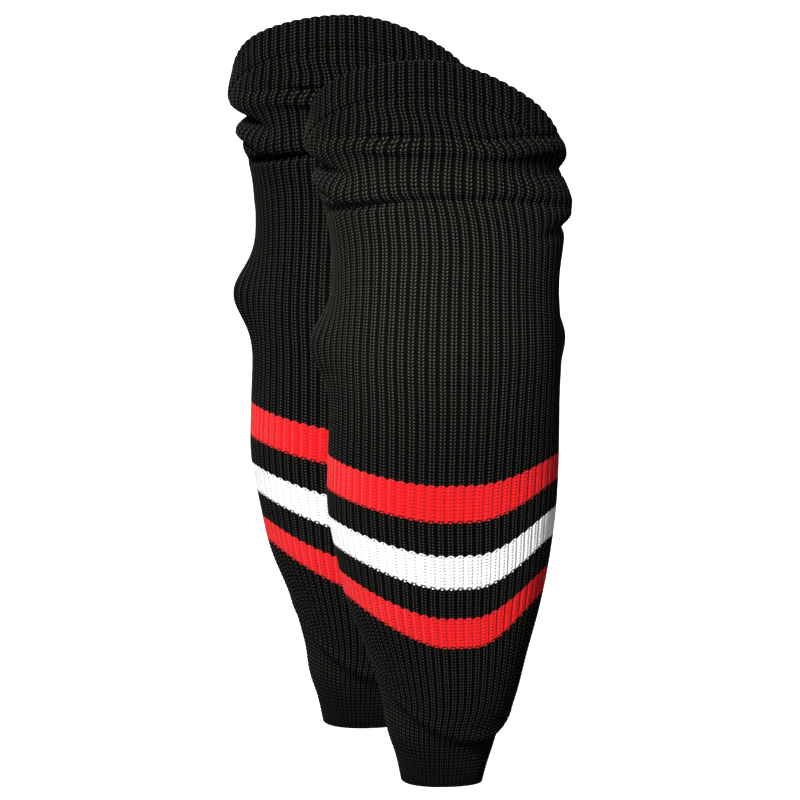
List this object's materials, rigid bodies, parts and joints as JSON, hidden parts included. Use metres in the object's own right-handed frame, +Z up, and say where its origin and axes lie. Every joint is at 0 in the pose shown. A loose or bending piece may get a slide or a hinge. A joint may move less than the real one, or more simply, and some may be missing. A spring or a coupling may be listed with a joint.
{
  "type": "hockey shin guards",
  "caption": "Pair of tapered leg guards with hinged knee caps and thigh flaps, each inside a ribbed knit sock with red and white bands.",
  "frame": {"origin": "on the floor at the middle of the pair's outline, midway between the two standing guards", "axes": "+Z up along the shins from ankle to thigh; both guards face -Y, and the right guard stands 270 mm behind the left one, towards +Y; +X is the left guard's outer side, where its strap clips are"},
  "size_m": [0.2046, 0.4324, 0.5769],
  "materials": {
    "black_yarn": "rib knit",
    "red_yarn": "rib knit",
    "white_yarn": "rib knit",
    "shell_plastic": "satin",
    "clip_plastic": "satin",
    "padding": "brushed knit over foam",
    "webbing": "woven",
    "rivet_steel": "satin"
  },
  "bodies": {
    "left_shin": {"left_sock_hem": "black_yarn", "left_sock_ankle": "black_yarn", "left_sock_leg": "black_yarn", "left_sock_stripe_red_upper": "red_yarn", "left_sock_stripe_white": "white_yarn", "left_sock_stripe_red_lower": "red_yarn", "left_shin_shell": "shell_plastic", "left_shin_liner": "padding", "left_ankle_bumper": "padding", "left_calf_wrap_right": "padding", "left_calf_wrap_left": "padding", "left_calf_strap_upper": "webbing", "left_calf_strap_lower": "webbing", "left_strap_clip_upper": "clip_plastic", "left_strap_clip_lower": "clip_plastic", "left_link_rivet_right": "rivet_steel", "left_link_rivet_left": "rivet_steel"},
    "left_knee": {"left_knee_shell": "shell_plastic", "left_knee_liner": "padding", "left_knee_sling": "webbing", "left_sock_knee": "black_yarn", "left_sock_knee_fold": "black_yarn", "left_knee_link_right": "webbing", "left_knee_link_left": "webbing"},
    "left_thigh": {"left_thigh_plate": "shell_plastic", "left_thigh_pad": "padding", "left_sock_thigh": "black_yarn", "left_sock_welt": "black_yarn", "left_sock_thigh_fold": "black_yarn", "left_thigh_hinge": "webbing"},
    "right_shin": {"right_sock_hem": "black_yarn", "right_sock_ankle": "black_yarn", "right_sock_leg": "black_yarn", "right_sock_stripe_red_upper": "red_yarn", "right_sock_stripe_white": "white_yarn", "right_sock_stripe_red_lower": "red_yarn", "right_shin_shell": "shell_plastic", "right_shin_liner": "padding", "right_ankle_bumper": "padding", "right_calf_wrap_right": "padding", "right_calf_wrap_left": "padding", "right_calf_strap_upper": "webbing", "right_calf_strap_lower": "webbing", "right_strap_clip_upper": "clip_plastic", "right_strap_clip_lower": "clip_plastic", "right_link_rivet_right": "rivet_steel", "right_link_rivet_left": "rivet_steel"},
    "right_knee": {"right_knee_shell": "shell_plastic", "right_knee_liner": "padding", "right_knee_sling": "webbing", "right_sock_knee": "black_yarn", "right_sock_knee_fold": "black_yarn", "right_knee_link_right": "webbing", "right_knee_link_left": "webbing"},
    "right_thigh": {"right_thigh_plate": "shell_plastic", "right_thigh_pad": "padding", "right_sock_thigh": "black_yarn", "right_sock_welt": "black_yarn", "right_sock_thigh_fold": "black_yarn", "right_thigh_hinge": "webbing"}
  },
  "joints": [
    {"name": "left_knee_flex", "type": "hinge", "parent": "left_shin", "child": "left_knee", "pos_m": [0, -0.15, 0.345], "axis": [-1, 0, 0], "range_deg": [0, 35], "deforming": ["left_sock_knee_fold", "left_knee_link_right", "left_knee_link_left"]},
    {"name": "left_thigh_flap", "type": "hinge", "parent": "left_knee", "child": "left_thigh", "pos_m": [0, -0.201, 0.428], "axis": [-1, 0, 0], "range_deg": [-8, 8], "deforming": ["left_sock_thigh_fold", "left_thigh_hinge"]},
    {"name": "right_knee_flex", "type": "hinge", "parent": "right_shin", "child": "right_knee", "pos_m": [0, 0.12, 0.345], "axis": [-1, 0, 0], "range_deg": [0, 35], "deforming": ["right_sock_knee_fold", "right_knee_link_right", "right_knee_link_left"]},
    {"name": "right_thigh_flap", "type": "hinge", "parent": "right_knee", "child": "right_thigh", "pos_m": [0, 0.069, 0.428], "axis": [-1, 0, 0], "range_deg": [-8, 8], "deforming": ["right_sock_thigh_fold", "right_thigh_hinge"]},
    {"name": "right_guard_slide", "type": "slide", "parent": "left_shin", "child": "right_shin", "axis": [-1, 0, 0], "range_m": [0, 0.25]}
  ]
}
